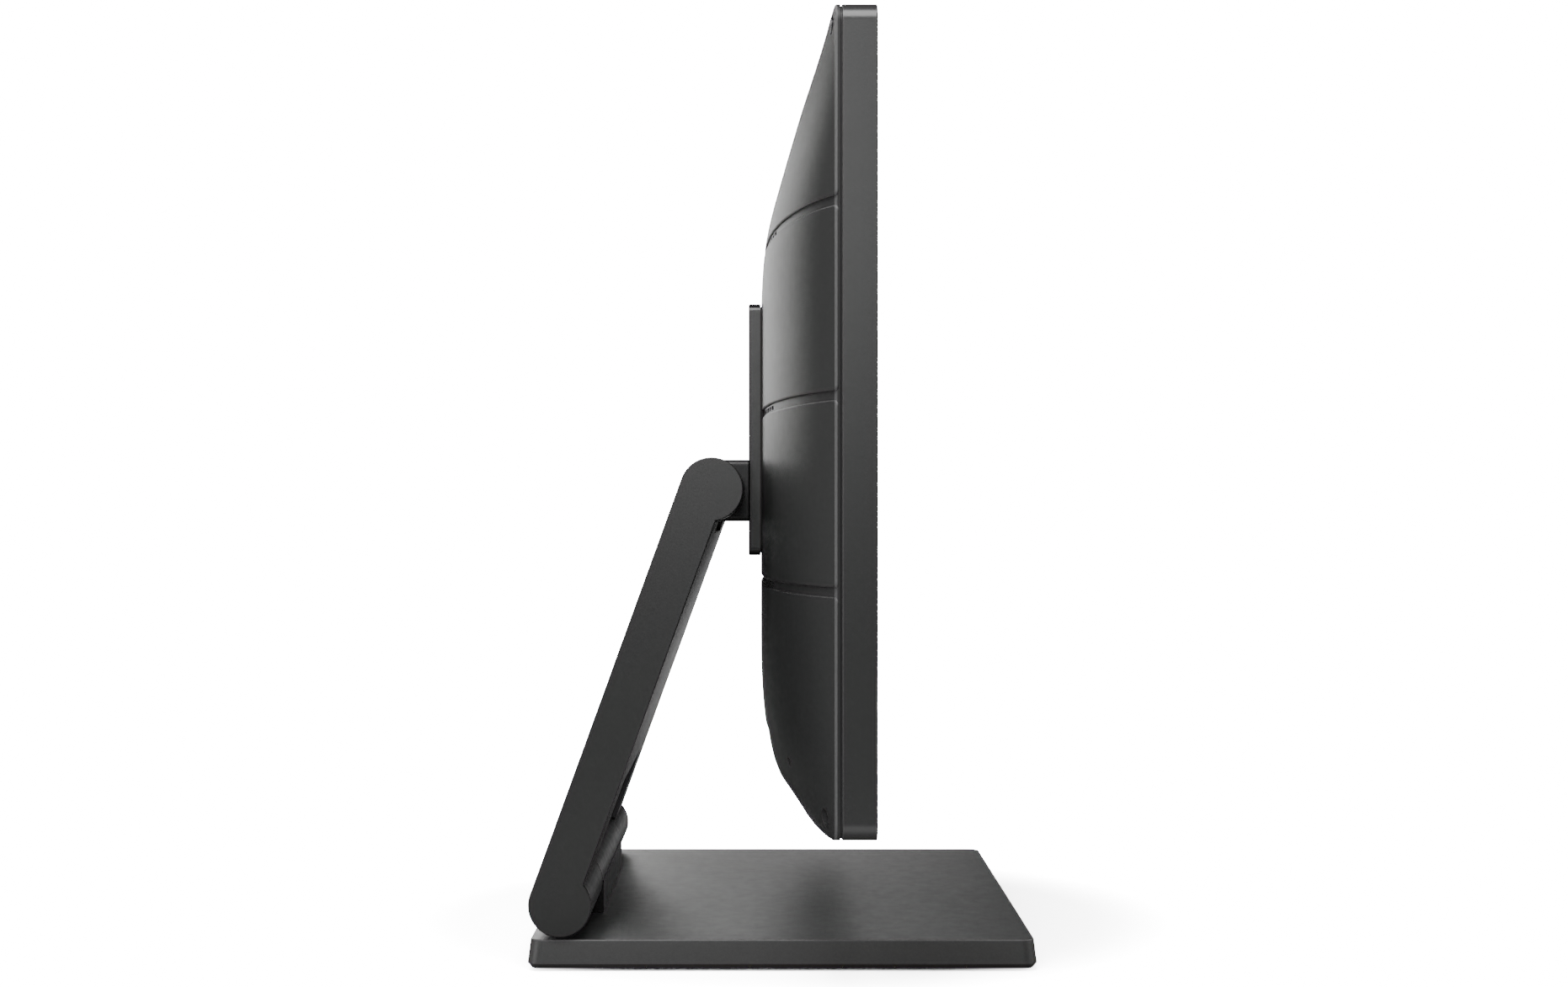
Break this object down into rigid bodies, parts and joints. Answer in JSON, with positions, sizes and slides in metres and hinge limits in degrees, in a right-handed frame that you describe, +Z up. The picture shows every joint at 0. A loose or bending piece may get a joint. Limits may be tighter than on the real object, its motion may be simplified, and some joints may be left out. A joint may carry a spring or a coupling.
{
  "type": "all-in-one computer",
  "caption": "Flat desktop computer built into a wide display head on a two-hinge reclining arm and flat base.",
  "frame": {"origin": "under the middle of the base, on the surface that its feet stand on", "axes": "+X to the viewer's right along the head's width, +Y from the screen to the back, +Z up; the screen faces -Y"},
  "size_m": [0.56, 0.262, 0.472],
  "materials": {
    "base_shell": "satin charcoal powder coat with a fine grain",
    "ballast_steel": "plain milled steel",
    "pan_steel": "matt black paint",
    "foot_rubber": "matt",
    "screw_steel": "black oxide",
    "knuckle_metal": "satin charcoal paint on a casting",
    "bolt_steel": "zinc plated",
    "shaft_steel": "ground",
    "friction_steel": "hardened discs, greased",
    "arm_metal": "satin charcoal paint on a casting",
    "arm_plastic": "satin charcoal",
    "bush_brass": "sintered",
    "plate_paint": "satin charcoal paint on a casting",
    "bezel_plastic": "satin charcoal",
    "cover_glass": "clear, black printed border",
    "grille_plastic": "satin charcoal",
    "button_plastic": "satin",
    "board_green": "solder resist",
    "camera_black": "matt",
    "lens_glass": "coated",
    "panel_black": "display module",
    "chassis_steel": "zinc-coated sheet",
    "standoff_brass": "turned",
    "socket_plastic": "black",
    "memory_green": "boards with black chips",
    "copper": "copper, slightly dull",
    "fin_aluminium": "thin stamped sheet",
    "blower_plastic": "black",
    "drive_case": "anodised",
    "caddy_steel": "zinc-coated sheet",
    "supply_case": "perforated sheet case",
    "speaker_black": "black",
    "socket_shell": "nickel plated",
    "cover_plastic": "satin charcoal with a fine grain",
    "inlet_black": "black"
  },
  "bodies": {
    "base": {"base_cover": "base_shell", "base_ballast_plate": "ballast_steel", "base_bottom_pan": "pan_steel", "base_rubber_feet": "foot_rubber", "base_pan_screws": "screw_steel", "base_knuckle": "knuckle_metal", "base_knuckle_bolts": "bolt_steel", "lower_hinge_shaft": "shaft_steel", "lower_friction_packs": "friction_steel"},
    "arm": {"arm_casting": "arm_metal", "arm_front_cover": "arm_plastic", "arm_end_cap_left": "arm_plastic", "arm_end_cap_right": "arm_plastic", "arm_lower_bushes": "bush_brass", "arm_upper_bushes": "bush_brass"},
    "hinge_core": {"upper_hinge_shaft": "shaft_steel", "upper_friction_packs": "friction_steel"},
    "power_button": {"power_button": "button_plastic"},
    "impeller": {"blower_impeller": "blower_plastic"},
    "head": {"head_knuckle": "knuckle_metal", "mount_plate": "plate_paint", "mount_screws": "screw_steel", "knuckle_screws": "bolt_steel", "front_bezel": "bezel_plastic", "cover_glass": "cover_glass", "speaker_grille": "grille_plastic", "power_switch_board": "board_green", "webcam_module": "camera_black", "webcam_lens": "lens_glass", "display_panel": "panel_black", "steel_chassis": "chassis_steel", "motherboard": "board_green", "board_standoffs": "standoff_brass", "cpu_socket": "socket_plastic", "memory_modules": "memory_green", "wireless_card": "board_green", "heat_spreader": "copper", "heat_pipe": "copper", "heatsink_fins": "fin_aluminium", "blower_housing": "blower_plastic", "solid_state_drive": "drive_case", "drive_caddy": "caddy_steel", "power_supply": "supply_case", "loudspeakers": "speaker_black", "side_sockets": "socket_shell", "rear_cover": "cover_plastic", "cover_screws": "screw_steel", "power_inlet": "inlet_black", "rear_sockets": "socket_shell"}
  },
  "joints": [
    {"name": "arm_swing", "type": "hinge", "parent": "base", "child": "arm", "pos_m": [0, 0.114, 0.0336], "axis": [1, 0, 0], "range_deg": [0, 50]},
    {"name": "head_level", "type": "hinge", "parent": "arm", "child": "hinge_core", "pos_m": [0, 0.03636, 0.24691], "axis": [1, 0, 0], "range_deg": [-100, 0]},
    {"name": "head_tilt", "type": "hinge", "parent": "hinge_core", "child": "head", "pos_m": [0, 0.03636, 0.24691], "axis": [1, 0, 0], "range_deg": [-20, 5]},
    {"name": "power_press", "type": "slide", "parent": "head", "child": "power_button", "axis": [0, 1, 0], "range_m": [0, 0.0012], "stiffness_N_per_m": 800, "springref_m": -0.0008},
    {"name": "blower_spin", "type": "hinge", "parent": "head", "child": "impeller", "pos_m": [0.172, -0.0284, 0.378], "axis": [0, 1, 0], "continuous": true}
  ],
  "couplings": [
    {"joint": "head_level", "follows": "arm_swing", "ratio": -2}
  ]
}
